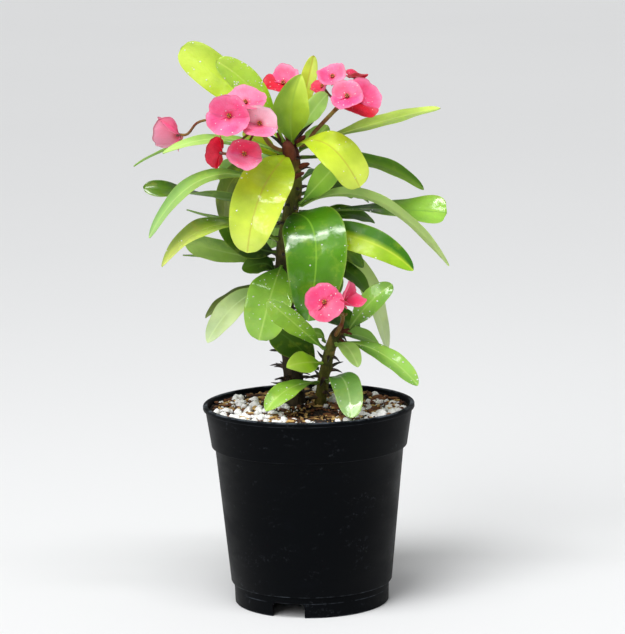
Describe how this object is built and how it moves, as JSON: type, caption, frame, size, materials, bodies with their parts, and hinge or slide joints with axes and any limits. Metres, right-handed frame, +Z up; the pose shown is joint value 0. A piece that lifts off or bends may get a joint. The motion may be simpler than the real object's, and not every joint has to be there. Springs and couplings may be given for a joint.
{
  "type": "potted euphorbia",
  "caption": "Crown of thorns plant with glossy spoon-shaped leaves, spiny stems and pink paired-bract blooms, standing in a tapered black nursery pot.",
  "frame": {"origin": "middle of the whole outline seen from above, at the foot of the pot; the pot's own axis is a little to the right and in front of it because the leaves reach farther to the left and back", "axes": "+Z up along the pot and the stems, +X to the right in the picture, +Y away from the viewer"},
  "size_m": [0.1704, 0.124, 0.3061],
  "materials": {
    "pot": "satin",
    "soil": "rough",
    "stem": "rough",
    "leaf": "glossy",
    "bloom": "satin"
  },
  "bodies": {
    "root": {"bloom_head_left": "bloom", "bloom_head_low": "bloom", "bloom_head_right": "bloom", "bloom_head_top": "bloom", "leaf_back_left": "leaf", "leaf_back_low": "leaf", "leaf_back_low_right": "leaf", "leaf_back_right": "leaf", "leaf_back_top": "leaf", "leaf_branch_back": "leaf", "leaf_branch_pale": "leaf", "leaf_branch_right": "leaf", "leaf_branch_small": "leaf", "leaf_branch_up": "leaf", "leaf_crown_right": "leaf", "leaf_crown_young": "leaf", "leaf_drops": "leaf", "leaf_front_gloss": "leaf", "leaf_front_lime": "leaf", "leaf_front_low": "leaf", "leaf_front_right_lime": "leaf", "leaf_left_arc": "leaf", "leaf_left_arch": "leaf", "leaf_left_behind": "leaf", "leaf_left_blade": "leaf", "leaf_left_dark": "leaf", "leaf_left_long": "leaf", "leaf_left_pale": "leaf", "leaf_left_pale_top": "leaf", "leaf_left_spike": "leaf", "leaf_left_under": "leaf", "leaf_left_under_back": "leaf", "leaf_left_up": "leaf", "leaf_low_dark": "leaf", "leaf_low_front": "leaf", "leaf_low_inner": "leaf", "leaf_low_left": "leaf", "leaf_low_right_back": "leaf", "leaf_right_arch": "leaf", "leaf_right_back": "leaf", "leaf_right_broad": "leaf", "leaf_right_curled": "leaf", "leaf_right_dark": "leaf", "leaf_right_hanging": "leaf", "leaf_right_inner": "leaf", "leaf_right_inner_back": "leaf", "leaf_right_inner_low": "leaf", "leaf_right_low_back": "leaf", "leaf_stem_young": "leaf", "leaf_top_back": "leaf", "leaf_top_far_left": "leaf", "leaf_top_left": "leaf", "leaf_top_right_long": "leaf", "leaf_top_right_short": "leaf", "leaf_top_upright": "leaf", "main_stem": "stem", "pot": "pot", "side_stem": "stem", "soil": "soil"}
  },
  "joints": []
}
